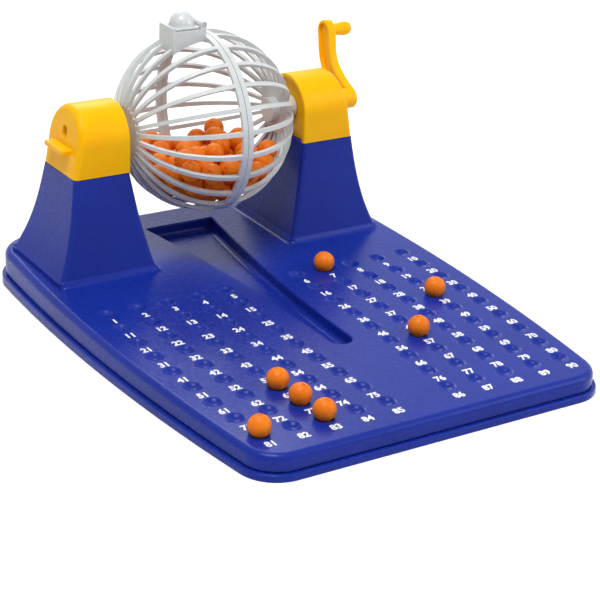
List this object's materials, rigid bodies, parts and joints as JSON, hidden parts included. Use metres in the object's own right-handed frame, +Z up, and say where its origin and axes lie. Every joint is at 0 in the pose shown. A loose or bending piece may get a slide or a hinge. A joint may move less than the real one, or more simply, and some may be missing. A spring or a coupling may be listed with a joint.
{
  "type": "bingo cage",
  "caption": "Tabletop bingo cage: ribbed ball cage turned by a crank between two towers, above a board of numbered cups and a chute.",
  "frame": {"origin": "centre of the footprint, on the table", "axes": "+X along the cage axle towards the crank, +Y away from the player, +Z up"},
  "size_m": [0.224, 0.287, 0.1515],
  "materials": {
    "blue_plastic": "glossy moulded",
    "yellow_plastic": "glossy moulded",
    "silver_plastic": "satin moulded",
    "pale_silver_plastic": "satin moulded",
    "orange_plastic": "satin moulded"
  },
  "bodies": {
    "base": {"base_board": "blue_plastic", "cap_left": "yellow_plastic", "cap_right": "yellow_plastic"},
    "cage": {"cage_half_left": "silver_plastic", "cage_half_right": "silver_plastic", "crank": "yellow_plastic", "lid_pin": "silver_plastic"},
    "lid": {"outlet_lid": "pale_silver_plastic"},
    "ball_heap": {"cage_ball_01": "orange_plastic", "cage_ball_02": "orange_plastic", "cage_ball_03": "orange_plastic", "cage_ball_04": "orange_plastic", "cage_ball_05": "orange_plastic", "cage_ball_06": "orange_plastic", "cage_ball_07": "orange_plastic", "cage_ball_08": "orange_plastic", "cage_ball_09": "orange_plastic", "cage_ball_10": "orange_plastic", "cage_ball_11": "orange_plastic", "cage_ball_12": "orange_plastic", "cage_ball_13": "orange_plastic", "cage_ball_14": "orange_plastic", "cage_ball_15": "orange_plastic", "cage_ball_16": "orange_plastic", "cage_ball_17": "orange_plastic", "cage_ball_18": "orange_plastic", "cage_ball_19": "orange_plastic", "cage_ball_20": "orange_plastic", "cage_ball_21": "orange_plastic", "cage_ball_22": "orange_plastic", "cage_ball_23": "orange_plastic", "cage_ball_24": "orange_plastic", "cage_ball_25": "orange_plastic", "cage_ball_26": "orange_plastic"},
    "loose_ball_07": {"ball_07": "orange_plastic"},
    "loose_ball_39": {"ball_39": "orange_plastic"},
    "loose_ball_57": {"ball_57": "orange_plastic"},
    "loose_ball_63": {"ball_63": "orange_plastic"},
    "loose_ball_73": {"ball_73": "orange_plastic"},
    "loose_ball_81": {"ball_81": "orange_plastic"},
    "loose_ball_83": {"ball_83": "orange_plastic"}
  },
  "joints": [
    {"name": "cage_spin", "type": "hinge", "parent": "base", "child": "cage", "pos_m": [0, 0.0928, 0.089], "axis": [1, 0, 0], "continuous": true},
    {"name": "lid_hinge", "type": "hinge", "parent": "cage", "child": "lid", "pos_m": [-0.00445, 0.0928, 0.1446], "axis": [0, 1, 0], "range_deg": [0, 100]},
    {"name": "ball_heap_swing", "type": "hinge", "parent": "base", "child": "ball_heap", "pos_m": [0, 0.0928, 0.089], "axis": [1, 0, 0], "range_deg": [-25, 25]},
    {"name": "lift_ball_07", "type": "slide", "parent": "base", "child": "loose_ball_07", "axis": [0, 0, 1], "range_m": [0, 0.03]},
    {"name": "lift_ball_39", "type": "slide", "parent": "base", "child": "loose_ball_39", "axis": [0, 0, 1], "range_m": [0, 0.03]},
    {"name": "lift_ball_57", "type": "slide", "parent": "base", "child": "loose_ball_57", "axis": [0, 0, 1], "range_m": [0, 0.03]},
    {"name": "lift_ball_63", "type": "slide", "parent": "base", "child": "loose_ball_63", "axis": [0, 0, 1], "range_m": [0, 0.03]},
    {"name": "lift_ball_73", "type": "slide", "parent": "base", "child": "loose_ball_73", "axis": [0, 0, 1], "range_m": [0, 0.03]},
    {"name": "lift_ball_81", "type": "slide", "parent": "base", "child": "loose_ball_81", "axis": [0, 0, 1], "range_m": [0, 0.03]},
    {"name": "lift_ball_83", "type": "slide", "parent": "base", "child": "loose_ball_83", "axis": [0, 0, 1], "range_m": [0, 0.03]}
  ]
}
